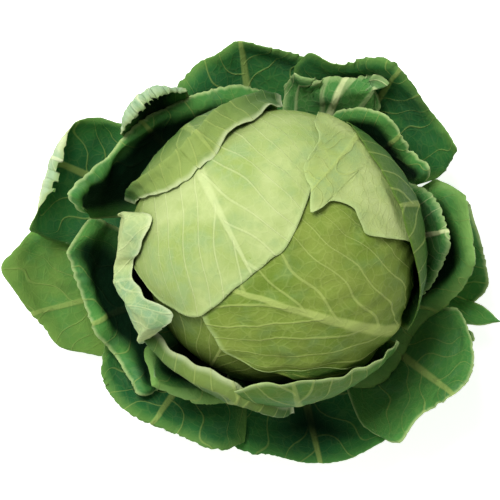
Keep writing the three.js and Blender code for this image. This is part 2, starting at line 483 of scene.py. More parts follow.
FRILLED_HEAD = LeafFinish(Greens.OLIVE, Greens.FRESH, Greens.HEAD_VEIN, Greens.RIM, bloom=0.15,
                          side_veins=0.35, net=0.3, margin_width=0.5, margin_and_highlight_share=0.9,
                          gloss=0.36, rib_share=0.4, flank_tone_and_shade=Greens.FLANK_DARK_AND_SHADE, flank_tone_and_shade_share=0.6)
CURLED_OUTSIDE = LeafFinish(Greens.PALE_SHADE, Greens.YELLOW, Greens.HEAD_VEIN,
                            Greens.WHITE_GREEN, bloom=0.2, net=0.4, side_veins=0.3,
                            rib_share=0.3, gloss=0.4, flank_tone_and_shade=Greens.FLANK_DARK_AND_SHADE, flank_tone_and_shade_share=0.95)
FLAP_OUTSIDE = LeafFinish(Greens.PALE, Greens.UNDERSIDE, Greens.PALE_VEIN, Greens.WHITE_GREEN,
                          bloom=0.6, net=0.5, side_veins=0.3, rib_share=0.3, gloss=0.5)
# These inside finishes paint shade into the blade away from the rim.
MID_INSIDE = LeafFinish(Greens.FRESH, Greens.GRASS, Greens.VEIN, Greens.RIM, bloom=0.16,
                        side_veins=0.5, net=0.25, margin_width=0.3, margin_and_highlight_share=0.85,
                        gloss=0.38, painted_shade=0.96,
                        painted_shade_from=0.5, painted_shade_to=1.7)
DARK_INSIDE = LeafFinish(Greens.GRASS, Greens.DARK, Greens.VEIN, Greens.LIGHT, bloom=0.06,
                         side_veins=0.5, net=0.22, margin_width=0.9, margin_and_highlight_share=0.6,
                         gloss=0.34, painted_shade=0.85)
LIGHT_INSIDE = LeafFinish(Greens.LIGHT, Greens.FRESH, Greens.VEIN, Greens.LIGHT, bloom=0.1,
                          side_veins=0.45, net=0.35, margin_width=1.0, margin_and_highlight_share=0.6,
                          gloss=0.36, painted_shade=0.95, painted_shade_from=3.2, painted_shade_to=4.6)
DEEP_INSIDE = LeafFinish(Greens.GRASS, Greens.DARK, Greens.VEIN, Greens.FRESH, bloom=0.04,
                         side_veins=0.4, net=0.2, margin_width=1.0, margin_and_highlight_share=0.7, gloss=0.32,
                         painted_shade=0.97, painted_shade_from=1.1, painted_shade_to=3.2)
EDGED_INSIDE = LeafFinish(Greens.FRESH, Greens.GRASS, Greens.VEIN, Greens.EDGE, bloom=0.2,
                          side_veins=0.5, net=0.3, margin_width=1.5, margin_and_highlight_share=0.75,
                          gloss=0.38, painted_shade=0.96, painted_shade_from=1.1, painted_shade_to=2.6)
OUTER_INSIDE = LeafFinish(Greens.FRESH, Greens.GRASS, Greens.VEIN, Greens.RIM, bloom=0.14,
                          side_veins=0.5, net=0.3, margin_width=0.3, margin_and_highlight_share=0.8,
                          gloss=0.38, painted_shade=0.85,
                          painted_shade_from=3.0, painted_shade_to=5.5)
FAN_INSIDE = LeafFinish(Greens.FRESH, Greens.GRASS, Greens.PALE_VEIN, Greens.RIM, bloom=0.1,
                        side_veins=0.35, net=0.2, gloss=0.36, rib_share=0.95)
UNDERSIDE = LeafFinish(Greens.UNDERSIDE, Greens.FRESH, Greens.PALE_VEIN, Greens.RIM, bloom=0.5,
                       side_veins=0.6, net=0.3, gloss=0.46)
WHITE_UNDERSIDE = LeafFinish(Greens.WHITE_GREEN, Greens.BLOOM, Greens.WHITE_GREEN,
                             Greens.PALE_SHADE, bloom=0.4, side_veins=0.3, net=0.2, gloss=0.46)


@dataclass(frozen=True)
class StemFinish:
    """The look of the cut stem: fibrous sides and a ringed, drying cut face."""

    side: Greens = Greens.STEM
    shade: Greens = Greens.STEM_SHADE
    cut: Greens = Greens.CUT

    def make(self, name: str) -> bpy.types.Material:
        """Build the material.

        Args:
            name: The material's name.

        Returns:
            The new material.
        """
        graph = Graph(name)
        place = graph.value("ShaderNodeTexCoord", output="Object")
        leaf = graph.value("ShaderNodeUVMap", {"uv_map": "leaf"})
        out = graph.parts(leaf)[1]
        blotch = graph.noise(place, 120.0, 4.0)
        fibre = graph.noise(graph.value("ShaderNodeVectorMath", {"operation": "MULTIPLY"},
                                        {0: place, 1: (1400.0, 1400.0, 120.0)}), 1.0, 3.0)
        rings = (out * 16.0 + blotch * 2.5).sine() * 0.5 + 0.5
        colour = graph.blend(blotch.rise(0.35, 0.7), self.side.value, self.shade.value)
        colour = graph.blend(fibre.rise(0.5, 0.8) * 0.5, colour, self.cut.value)
        colour = graph.blend(rings * 0.35, colour, self.shade.value)
        height = fibre * 0.6 + rings * 0.3 + blotch * 0.4
        return graph.finish(colour, 0.55 + blotch * 0.25, height, 0.8 * MM)


# --- Shapes ------------------------------------------------------------------------------------


def through(points: Pairs, count: int) -> np.ndarray:
    """A smooth curve through points, evenly sampled.

    Args:
        points: The points, each with the same number of coordinates.
        count: How many samples to take.

    Returns:
        The samples, one a row.
    """
    given = np.array(points, dtype=float)
    last = len(given) - 1
    place = np.linspace(0, last, count)
    start = np.minimum(place.astype(int), last - 1)
    part = (place - start)[:, None]
    before, here = given[np.maximum(start - 1, 0)], given[start]
    there, after = given[start + 1], given[np.minimum(start + 2, last)]
    leave, arrive = (there - before) / 2, (after - here) / 2
    return (here * (2 * part ** 3 - 3 * part ** 2 + 1) + leave * (part ** 3 - 2 * part ** 2 + part)
            + there * (3 * part ** 2 - 2 * part ** 3) + arrive * (part ** 3 - part ** 2))


class Ripples:
    """Smooth, repeatable waviness made of a few sine waves in random directions."""

    def __init__(self, seed: int, size: float, waves: int = 7) -> None:
        """Draw the waves.

        Args:
            seed: The seed of the random draws.
            size: The length of a typical wave.
            waves: How many waves to add.
        """
        draw = np.random.default_rng(seed)
        directions = draw.normal(size=(waves, 3))
        directions /= np.linalg.norm(directions, axis=1)[:, None]
        lengths = size * draw.uniform(0.6, 1.6, size=waves)
        self.turns = directions * (2 * math.pi / lengths)[:, None]
        self.starts = draw.uniform(0, 2 * math.pi, size=waves)

    def at(self, points: np.ndarray) -> np.ndarray:
        """The waviness at each point, from about -1 to 1."""
        waves = np.sin(points @ self.turns.T + self.starts)
        return waves.sum(axis=-1) / math.sqrt(2 * len(self.starts))


def normals_of(middle: np.ndarray) -> np.ndarray:
    """The unit normals of a grid of points, towards the leaf's outside."""
    across = np.gradient(middle, axis=1)
    along = np.gradient(middle, axis=0)
    normal = np.cross(across, along)
    return normal / np.maximum(np.linalg.norm(normal, axis=2, keepdims=True), 1e-12)


def lengths_along(middle: np.ndarray, axis: int) -> np.ndarray:
    """The distance run along one direction of a grid, up to each of its points."""
    steps = np.linalg.norm(np.diff(middle, axis=axis), axis=2)
    start = np.zeros_like(np.take(steps, [0], axis=axis))
    return np.cumsum(np.concatenate([start, steps], axis=axis), axis=axis)


@dataclass
class Sheet:
    """A closed leaf: a grid of middle points with the leaf's thickness laid on both sides."""

    name: str
    middle: np.ndarray
    veins: Veins
    blade: float = 0.45 * MM
    base: float = 1.3 * MM
    ridge: float = 0.8 * MM
    inner_ridge: float = 0.35 * MM

    def build(self) -> bpy.types.Object:
        """Make the leaf's mesh with its two maps.

        Returns:
            The new object, in the scene.
        """
        rows, columns = (size - 1 for size in self.middle.shape[:2])
        along = lengths_along(self.middle, 0) / CM
        side = lengths_along(self.middle, 1) / CM
        across = side - side[:, columns // 2][:, None]
        share = np.linspace(0, 1, rows + 1)[:, None] * np.ones((1, columns + 1))
        rim = along[-1][None, :] - along
        edge = np.minimum(rim, 0.6 * np.minimum(side, side[:, -1:] - side) + 0.02)
        ribs = self.veins.ridge(across, along, share)
        fade = np.clip(edge / 0.5, 0, 1)
        body = self.blade * (0.35 + 0.65 * fade) + self.base * (1 - share) ** 3
        normal = normals_of(self.middle)
        outer = self.middle + normal * (body + self.ridge * ribs * fade)[..., None]
        inner = self.middle - normal * (body + self.inner_ridge * ribs * fade)[..., None]
        points = np.concatenate([outer.reshape(-1, 3), inner.reshape(-1, 3)])
        faces, sides = self._faces(rows, columns)
        mesh = bpy.data.meshes.new(self.name)
        mesh.from_pydata(points.tolist(), [], faces)
        mesh.polygons.foreach_set("use_smooth", [True] * len(faces))
        mesh.polygons.foreach_set("material_index", sides)
        self._map(mesh, "leaf", across, along)
        self._map(mesh, "edge", edge, share)
        made = bpy.data.objects.new(self.name, mesh)
        bpy.context.scene.collection.objects.link(made)
        return made

    @staticmethod
    def _faces(rows: int, columns: int) -> tuple[list[tuple[int, ...]], list[int]]:
        """List the faces of both sides and of the edge.

        Args:
            rows: The number of faces from the stem to the rim.
            columns: The number of faces across the leaf.

        Returns:
            The faces, and the finish that each takes.
        """
        width, below = columns + 1, (columns + 1) * (rows + 1)
        faces: list[tuple[int, ...]] = []
        for row in range(rows):
            for column in range(columns):
                corner = row * width + column
                faces.append((corner, corner + 1, corner + width + 1, corner + width))
        inside = [tuple(below + corner for corner in reversed(face)) for face in faces]
        walls: list[tuple[int, ...]] = []
        for column in range(columns):
            top = rows * width + column
            walls.append((column, below + column, below + column + 1, column + 1))
            walls.append((top + 1, below + top + 1, below + top, top))
        for row in range(rows):
            left, right = row * width, row * width + columns
            walls.append((left + width, below + left + width, below + left, left))
            walls.append((right, below + right, below + right + width, right + width))
        sides = [0] * len(faces) + [1] * len(inside) + [0] * len(walls)
        return faces + inside + walls, sides

    @staticmethod
    def _map(mesh: bpy.types.Mesh, name: str, first: np.ndarray, second: np.ndarray) -> None:
        """Store two numbers of every point as a map."""
        pair = np.stack([first.ravel(), second.ravel()], axis=1)
        pair = np.concatenate([pair, pair])
        corners = np.empty(len(mesh.loops), dtype=np.int32)
        mesh.loops.foreach_get("vertex_index", corners)
        layer = mesh.uv_layers.new(name=name)
        layer.data.foreach_set("uv", pair[corners].astype(np.float32).ravel())


@dataclass(frozen=True)
class Head:
    """The head's size and place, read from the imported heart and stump."""

    radius: float
    half_height: float
    centre: float
    stem: float

    @classmethod
    def from_frame(cls) -> "Head":
        """Measure the heart and the stump, and add the leaves that lie on the heart."""
        low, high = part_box("heart")
        stump_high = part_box("stump")[1]
        leaves = 10.9 * MM
        return cls(high[0] + leaves, (high[2] - low[2]) / 2 + leaves, (high[2] + low[2]) / 2,
                   stump_high[0])

    def meridian(self, bowl: float, count: int = 1200) -> np.ndarray:
        """The meridian of one bowl, from the stem out under the head and up.

        Args:
            bowl: Which bowl, from 0 for the lowest and widest to 1.
            count: How many samples to take.

        Returns:
            Distance from the axis and height at each sample.
        """
        spread = (1 - bowl) ** 1.6
        controls = np.array([
            [self.stem / MM + 0.4, 4 + 19 * bowl],
            [77 + 23 * spread, 2 + 15.5 * bowl],
            [93 + 57 * spread, 12 + 58 * bowl],
            [98 + 74 * spread, 100 + 70 * bowl ** 0.7],
        ]) * MM
        part = np.linspace(0, 1, count)[:, None]
        rest = 1 - part
        return (controls[0] * rest ** 3 + controls[1] * 3 * rest ** 2 * part
                + controls[2] * 3 * rest * part ** 2 + controls[3] * part ** 3)


@dataclass
class Leaf:
    """What every leaf has: its names, its two finishes, its ribs and its waviness."""

    name: str
    seed: int
    outside: LeafFinish
    inside: LeafFinish
    veins: Veins = field(default_factory=Veins)
    columns: int = 88
    rows: int = 72

    def middle(self, head: Head) -> np.ndarray:
        """The grid of the leaf's middle points, from the stem to the rim."""
        raise NotImplementedError

    def make(self, head: Head) -> bpy.types.Object:
        """Build, dress and place the leaf.

        Args:
            head: The head's size.

        Returns:
            The finished piece.
        """
        piece = Sheet(self.name, self.middle(head), self.veins).build()
        piece.data.materials.append(self.outside.make(f"{self.name}_outside", self.veins))
        piece.data.materials.append(self.inside.make(f"{self.name}_inside", self.veins))
        node = self.name.removesuffix("_blade")
        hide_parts(node)
        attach(piece, "root")
        return piece


@dataclass
class LooseLeaf(Leaf):
    """A leaf on one of the bowls round the head.

    Each rim point gives an azimuth in degrees, the reach from the stem's axis in head radii, and
    the angle through which the rim turns over: outwards, or inwards if it is below nought.
    Turning is the width that turns over, and ruffle and ruffle_size are the height and the length
    of the waves in the blade.
    """

    bowl: float = 0.5
    rim: Pairs = ()
    turning: float = 11 * MM
    ruffle: float = 5.5 * MM
    ruffle_size: float = 38 * MM
    base_width: float = 0.5

    def middle(self, head: Head) -> np.ndarray:
        """Lay the leaf out.

        Args:
            head: The head's size.

        Returns:
            The grid of the leaf's middle points, from the stem to the rim.
        """
        rim = through(self.rim, self.columns + 1)
        curve = head.meridian(self.bowl)
        centre = (rim[0, 0] + rim[-1, 0]) / 2
        shares = np.linspace(0, 1, self.rows + 1)
        widening = self.base_width + (1 - self.base_width) * np.sin(shares * math.pi / 2)
        frill, nicks = Ripples(self.seed, 0.30), Ripples(self.seed + 4, 0.03, 9)
        grid = np.empty((self.rows + 1, self.columns + 1, 3))
        for column, (azimuth, reach, turn) in enumerate(rim):
            place = np.array([math.radians(azimuth), 0.0, 0.0])
            wave, nick = frill.at(place), nicks.at(place)
            uneven = (0.018 * wave + 0.007 * nick) * (1 - self.bowl) ** 1.5
            trim = (0.7 * (1 + wave) + 1.2 * max(nick + 0.2, 0.0)) * MM
            profile = self._profile(curve, (reach + uneven) * head.radius,
                                    math.radians(turn + 14 * wave), trim, shares)
            angle = np.radians(centre + (azimuth - centre) * widening)
            grid[:, column, 0] = profile[:, 0] * np.cos(angle)
            grid[:, column, 1] = profile[:, 0] * np.sin(angle)
            grid[:, column, 2] = profile[:, 1]
        return self._ruffled(grid, shares)

    def _profile(self, curve: np.ndarray, reach: float, turn: float, trim: float,
                 shares: np.ndarray) -> np.ndarray:
        """One column of the leaf: the bowl's meridian, then the turned rim.

        Args:
            curve: The bowl's meridian.
            reach: The column's greatest distance from the axis.
            turn: The rim's turn in radians, outwards if above nought.
            trim: The length that a nick takes off the rim.
            shares: The shares of the column's length to sample.

        Returns:
            Distance from the axis and height at each share.
        """
        lean, rim = math.radians(62), np.zeros((1, 2))
        count, end = 24, 2
        for _ in range(3):
            angles = lean - turn * np.linspace(0, 1, count)
            steps = np.stack([np.cos(angles), np.sin(angles)], axis=1) * self.turning / count
            rim = np.cumsum(steps, axis=0)
            outwards = max(rim[:, 0].max(), 0.0)
            end = int(np.clip(np.searchsorted(curve[:, 0], reach - outwards), 2, len(curve) - 1))
            tangent = curve[end] - curve[end - 1]
            lean = math.atan2(tangent[1], tangent[0])
        whole = np.concatenate([curve[:end + 1], curve[end] + rim])
        shift = (reach - whole[:, 0].max()) * np.linspace(0, 1, len(whole)) ** 2
        whole[:, 0] += shift
        run = np.concatenate([[0], np.cumsum(np.linalg.norm(np.diff(whole, axis=0), axis=1))])
        wanted = shares * (run[-1] - trim)
        return np.stack([np.interp(wanted, run, whole[:, 0]),
                         np.interp(wanted, run, whole[:, 1])], axis=1)

    def _ruffled(self, grid: np.ndarray, shares: np.ndarray) -> np.ndarray:
        """Add the blade's waves, which grow towards the rim."""
        waves = Ripples(self.seed + 1, self.ruffle_size * 2.4).at(grid)
        small = Ripples(self.seed + 2, self.ruffle_size).at(grid)
        tiny = Ripples(self.seed + 3, 9 * MM).at(grid)
        grow = (shares ** 4)[:, None]
        lift = waves * self.ruffle * (0.35 * shares[:, None] ** 2 + 0.5 * grow)
        lift += small * self.ruffle * 0.7 * grow + tiny * 0.25 * MM * shares[:, None]
        return grid + normals_of(grid) * lift[..., None]


@dataclass
class HeadLeaf(Leaf):
    """A leaf that wraps the head on one of its shells.

    The rim goes round the free edge as degrees across the leaf, and degrees along it from the
    head's lowest point. The other values are heights off the shell: lift at the rim, crest along
    a band beside it, swell, blister and ruffle over the blade, drop below the crest, and tuck
    inwards, from one side of the leaf to the other.
    """

    azimuth: float = 0.0
    shell: int = 4
    rim: Pairs = ()
    lift: float = 0.9 * MM
    crest: float = 0.0
    crest_from: float = 18 * MM
    crest_width: float = 8 * MM
    swell: float = 0.9 * MM
    blister: float = 0.35 * MM
    ruffle: float = 0.4 * MM
    drop: float = 0.0
    tuck: tuple[float, float] = (0.0, 0.0)

    def middle(self, head: Head) -> np.ndarray:
        """Lay the leaf out.

        Args:
            head: The head's size.

        Returns:
            The grid of the leaf's middle points, from the stem to the rim.
        """
        rim = through(self.rim, self.columns + 1)
        rim += 0.45 * Ripples(self.seed + 5, 0.05, 9).at(
            np.linspace(0, 1, self.columns + 1)[:, None] * [1.0, 0.0, 0.0])[:, None]
        shares = np.linspace(0, 1, self.rows + 1)[:, None]
        grow = ((self.shell - 4) * 2.3 - 0.55) * MM
        radius, half_height = head.radius + grow, head.half_height + grow
        start = math.degrees(math.asin((head.stem + 2 * MM) / radius))
        base = np.linspace(-12, 12, self.columns + 1)[None, :]
        unit = self._direction(base + (rim[:, 0][None, :] - base) * np.sin(shares * math.pi / 2),
                               start + (rim[:, 1][None, :] - start) * shares)
        turn = math.radians(self.azimuth)
        spin = np.array([[math.cos(turn), -math.sin(turn), 0],
                         [math.sin(turn), math.cos(turn), 0], [0, 0, 1]])
        unit = unit @ spin.T
        grid = unit * np.array([radius, radius, half_height])
        run = lengths_along(grid, 0)
        left = run[-1][None, :] - run
        rise = self.lift * np.exp(-left / (3 * MM))
        rise += self.crest * np.exp(-(((left - self.crest_from) / self.crest_width) ** 2))
        rise += self.swell * Ripples(self.seed, 90 * MM).at(grid)
        rise += self.blister * Ripples(self.seed + 1, 17 * MM, 12).at(grid)
        rise += self.ruffle * Ripples(self.seed + 2, 22 * MM).at(grid) * np.exp(-left / (14 * MM))
        rise -= self.drop * np.clip(1 - left / self.crest_from, 0, 1) ** 1.2
        tucked = np.linspace(self.tuck[0], self.tuck[1], self.columns + 1)[None, :]
        rise -= tucked * np.clip((shares - 0.25) / 0.4, 0, 1)
        grid = grid + unit * rise[..., None]
        grid[..., 2] += head.centre
        return grid

    @staticmethod
    def _direction(across: np.ndarray, along: np.ndarray) -> np.ndarray:
        """The unit vectors at so many degrees across and along the leaf."""
        side, climb = np.radians(across), np.radians(along)
        return np.stack([np.cos(side) * np.sin(climb), np.sin(side),
                         -np.cos(side) * np.cos(climb)], axis=-1)


FAN_VEINS = Veins(spacing=2.7, slope=2.1, bend=0.0, width=0.08, rib_base=1.1, rib_tip=0.1,
                  wander=0.1)
SIDE_VEINS = Veins(spacing=2.9, slope=1.8, bend=0.02, width=0.10, rib_base=0.9, rib_tip=0.14,
                   wander=0.1, phase=1.3)
OUTER_VEINS = Veins(spacing=2.6, slope=1.15, bend=0.05, width=0.08, rib_base=0.55, rib_tip=0.2,
                    wander=0.2)
PEAK_VEINS = Veins(spacing=1.9, slope=0.8, bend=0.06, width=0.07, rib_base=0.5, rib_tip=0.12,
                   wander=0.42, phase=2.2, shift=1.9)
FORKED_VEINS = Veins(spacing=9.0, slope=4.5, bend=0.0, width=0.24, rib_base=0.5, rib_tip=0.34,
                     wander=0.02)


def head_leaves() -> Iterable[HeadLeaf]:
    """The leaves that lie on the head, from the innermost."""
    yield HeadLeaf(
        "head_leaf_right_blade", 11, YELLOW_HEAD, GREEN_HEAD, SIDE_VEINS, 130, 120,
        azimuth=-20, shell=2, blister=1.2 * MM,
        rim=((-30, 95), (-38, 129), (-48, 148), (-52, 168), (-48, 190), (-30, 206), (-8, 200),
             (12, 190), (28, 175), (36, 150), (38, 120), (36, 95)))
    yield HeadLeaf(
        "head_leaf_left_blade", 21, PALE_HEAD, YELLOW_HEAD, FAN_VEINS, 130, 120,
        azimuth=118, shell=3, swell=1.5 * MM,
        rim=((-52, 94), (-46, 122), (-36, 146), (-24, 163), (-7, 178), (5, 181), (19, 184),
             (34, 188), (46, 188), (58, 168), (62, 140), (62, 108)))
    yield HeadLeaf(
        "head_leaf_peaked_blade", 31, PEAK_HEAD, GREEN_HEAD, PEAK_VEINS, 110, 100,
        azimuth=45, shell=4, ruffle=0.8 * MM, blister=1.0 * MM,
        rim=((-30, 93), (-36, 116), (-32, 128), (-25, 140), (-18, 147), (-9, 145), (-1, 149),
             (2, 159), (10, 151), (16, 146), (18, 137), (20, 127), (26, 117), (28, 95)))
    yield HeadLeaf(
        "head_leaf_edge_right_blade", 41, GREEN_HEAD, MID_INSIDE, SIDE_VEINS,
        azimuth=10, shell=5, lift=0.3 * MM,
        rim=((-40, 88), (-33, 95), (-23, 105), (-11, 116), (1, 121), (19, 122), (29, 121),
             (38, 119), (47, 106), (52, 92)))
    yield HeadLeaf(
        "head_leaf_bottom_blade", 51, FRILLED_HEAD, MID_INSIDE, SIDE_VEINS,
        azimuth=-75, shell=6, ruffle=2.6 * MM, drop=2 * MM, tuck=(2 * MM, 2 * MM),
        rim=((-38, 92), (-32, 112), (-21, 124), (-6, 123), (10, 119), (28, 109), (40, 92)))
    yield HeadLeaf(
        "curled_leaf_lower_left_blade", 61, CURLED_OUTSIDE, MID_INSIDE, SIDE_VEINS,
        azimuth=235, shell=7, crest=3 * MM, crest_from=7 * MM, crest_width=4 * MM,
        drop=5 * MM, ruffle=1.5 * MM, tuck=(6 * MM, 2 * MM),
        rim=((-28, 92), (-13, 105), (2, 114), (14, 117), (24, 112), (31, 107), (37, 100), (42, 88)))
    yield HeadLeaf(
        "curled_leaf_left_blade", 71, FLAP_OUTSIDE, MID_INSIDE, SIDE_VEINS,
        azimuth=190, shell=8, crest=3 * MM, crest_from=18 * MM, drop=4 * MM, ruffle=2.5 * MM,
        tuck=(4 * MM, 4 * MM),
        rim=((-24, 92), (-24, 123), (-13, 122), (-5, 108), (4, 115), (14, 130), (20, 122),
             (24, 92)))
    yield HeadLeaf(
        "curled_leaf_upper_left_blade", 81, CURLED_OUTSIDE, MID_INSIDE, FAN_VEINS, 116, 110,
        azimuth=135, shell=9, crest=4 * MM, crest_from=18 * MM, crest_width=3 * MM,
        drop=4.5 * MM, ruffle=1.5 * MM, tuck=(7 * MM, 7 * MM),
        rim=((-48, 90), (-44, 101), (-34, 117), (-23, 122), (-11, 129), (0, 131), (10, 127),
             (19, 114), (25, 92)))


def wrapper_leaves() -> Iterable[LooseLeaf]:
    """The loose leaves close round the head."""
    yield LooseLeaf(
        "wrapper_leaf_left_blade", 101, UNDERSIDE, MID_INSIDE, OUTER_VEINS, 100, bowl=0.5,
        rim=((169, 1.30, 60), (178, 1.42, 80), (184, 1.40, 80), (189, 1.38, 80),
             (200, 1.35, 90), (212, 1.32, 90), (220, 1.33, 80), (226, 1.35, 70),
             (231, 1.24, 40)))
    yield LooseLeaf(
        "wrapper_leaf_fan_blade", 111, UNDERSIDE, FAN_INSIDE, FORKED_VEINS, 96, bowl=0.56,
        ruffle=7 * MM, ruffle_size=28 * MM, turning=18 * MM,
        rim=((53, 1.24, 20), (58, 1.37, 40), (61, 1.39, 60), (66, 1.33, 40), (71, 1.31, 50),
             (76, 1.27, 40), (81, 1.29, 50), (87, 1.18, 30)))
    yield LooseLeaf(
        "wrapper_leaf_upper_left_blade", 121, UNDERSIDE, MID_INSIDE, OUTER_VEINS, 124, bowl=0.58,
        rim=((94, 1.14, 90), (104, 1.19, 110), (112, 1.22, 110), (118, 1.24, 100),
             (127, 1.28, 90), (135, 1.31, 90), (143, 1.33, 100), (151, 1.35, 120),
             (158, 1.40, 110), (164, 1.45, 90), (169, 1.34, 60)))
    yield LooseLeaf(
        "wrapper_leaf_right_blade", 131, UNDERSIDE, EDGED_INSIDE, OUTER_VEINS, 130, bowl=0.64,
        turning=20 * MM,
        rim=((-82, 1.06, 60), (-70, 1.06, 90), (-60, 1.08, 100), (-50, 1.17, 90),
             (-40, 1.16, 80), (-28, 1.17, 80), (-20, 1.22, 70), (-12, 1.31, 60), (-4, 1.34, 45),
             (4, 1.34, 40), (12, 1.33, 40), (20, 1.32, 40), (25, 1.22, 30)))
    yield LooseLeaf(
        "wrapper_leaf_small_blade", 141, UNDERSIDE, MID_INSIDE, OUTER_VEINS, bowl=0.78,
        ruffle=2.5 * MM,
        rim=((26, 1.10, 50), (29, 1.21, 60), (36, 1.19, 60), (44, 1.20, 50), (52, 1.21, 60),
             (60, 1.17, 60), (67, 1.08, 40)))
    yield LooseLeaf(
        "wrapper_leaf_bottom_blade", 151, UNDERSIDE, EDGED_INSIDE, OUTER_VEINS, 100, bowl=0.84,
        rim=((216, 1.08, 60), (226, 1.22, 90), (241, 1.16, 110), (252, 1.11, 110),
             (262, 1.07, 110), (270, 1.08, 100), (277, 1.08, 90), (285, 1.04, 60)))
    yield LooseLeaf(
        "wrapper_leaf_inner_right_blade", 161, UNDERSIDE, FAN_INSIDE, OUTER_VEINS, bowl=0.9,
        ruffle=2 * MM,
        rim=((-17, 1.03, 20), (-12, 1.09, 40), (-6, 1.13, 40), (4, 1.19, 50), (11, 1.17, 50),
             (17, 1.16, 60), (22, 1.14, 60), (28, 1.06, 40)))


def outer_leaves() -> Iterable[LooseLeaf]:
    """The large dark leaves outside."""
    yield LooseLeaf(
        "outer_leaf_left_blade", 201, UNDERSIDE, LIGHT_INSIDE, OUTER_VEINS, 100, bowl=0.02,
        rim=((171, 1.44, 20), (174, 1.70, 20), (182, 1.85, 5), (190, 1.80, 10),
             (197, 1.70, 15), (203, 1.65, 15), (208, 1.50, 20), (213, 1.36, 20)))
    yield LooseLeaf(
        "outer_leaf_far_right_blade", 211, UNDERSIDE, OUTER_INSIDE, OUTER_VEINS, 130, bowl=0.2,
        rim=((-27, 1.35, 10), (-24, 1.50, 20), (-21.5, 1.49, 20), (-20, 1.43, 20),
             (-17, 1.62, 20), (-15.5, 1.60, 20), (-13.5, 1.42, 20), (-12, 1.47, 20),
             (-8, 1.51, 20), (-2, 1.47, 30), (2, 1.45, 40), (10, 1.41, 30), (16, 1.40, 30),
             (20, 1.30, 20)))
    yield LooseLeaf(
        "outer_leaf_bottom_blade", 221, UNDERSIDE, DEEP_INSIDE, OUTER_VEINS, 100, bowl=0.24,
        rim=((-107, 1.32, 10), (-98, 1.41, 20), (-90, 1.41, 20), (-82, 1.45, 15),
             (-73, 1.50, 20), (-65, 1.52, 20), (-58, 1.50, 30), (-53, 1.38, 20)))
    yield LooseLeaf(
        "outer_leaf_top_blade", 231, UNDERSIDE, DARK_INSIDE, OUTER_VEINS, 100, bowl=0.27,
        rim=((79, 1.30, 10), (82, 1.42, 15), (88, 1.48, 20), (94, 1.51, 30), (99, 1.51, 20),
             (106, 1.46, 30), (113, 1.43, 40), (120, 1.36, 50), (126, 1.26, 30)))
    yield LooseLeaf(
        "outer_leaf_upper_left_blade", 241, WHITE_UNDERSIDE, DARK_INSIDE, OUTER_VEINS, 100,
        bowl=0.15,
        rim=((135, 1.26, 20), (139, 1.42, 20), (145, 1.64, 10), (150, 1.62, -40),
             (154, 1.61, -110), (160, 1.61, -130), (165, 1.62, -120), (169, 1.65, -30),
             (174, 1.70, 20), (178, 1.45, 20)))
    yield LooseLeaf(
        "outer_leaf_lower_right_blade", 251, UNDERSIDE, OUTER_INSIDE, OUTER_VEINS, 100, bowl=0.36,
        rim=((-63, 1.34, 10), (-58, 1.51, 20), (-47, 1.50, 20), (-38, 1.56, 20),
             (-30, 1.55, 30), (-24, 1.49, 30), (-17, 1.36, 20)))
    yield LooseLeaf(
        "outer_leaf_bottom_left_blade", 261, UNDERSIDE, DARK_INSIDE, OUTER_VEINS, 100, bowl=0.36,
        rim=((207, 1.30, 20), (213, 1.42, 30), (221, 1.44, 20), (230, 1.46, 30),
             (238, 1.43, 30), (245, 1.42, 40), (254, 1.42, 30), (261, 1.32, 20)))
    yield LooseLeaf(
        "outer_leaf_top_right_blade", 271, UNDERSIDE, DARK_INSIDE, OUTER_VEINS, 120, bowl=0.38,
        rim=((25, 1.32, 20), (29, 1.42, 20), (35, 1.43, 20), (41, 1.44, 30), (52, 1.51, 30),
             (60, 1.55, 40), (67, 1.47, 30), (74, 1.43, 20), (80, 1.42, 20), (84, 1.32, 20)))
    yield LooseLeaf(
        "outer_leaf_roll_blade", 281, WHITE_UNDERSIDE, MID_INSIDE, OUTER_VEINS, bowl=0.46,
        turning=12 * MM, ruffle=2 * MM,
        rim=((118, 1.30, -60), (124, 1.38, -120), (131, 1.41, -140), (136, 1.40, -130),
             (142, 1.34, -60)))


# --- Heart and stump ---------------------------------------------------------------------------


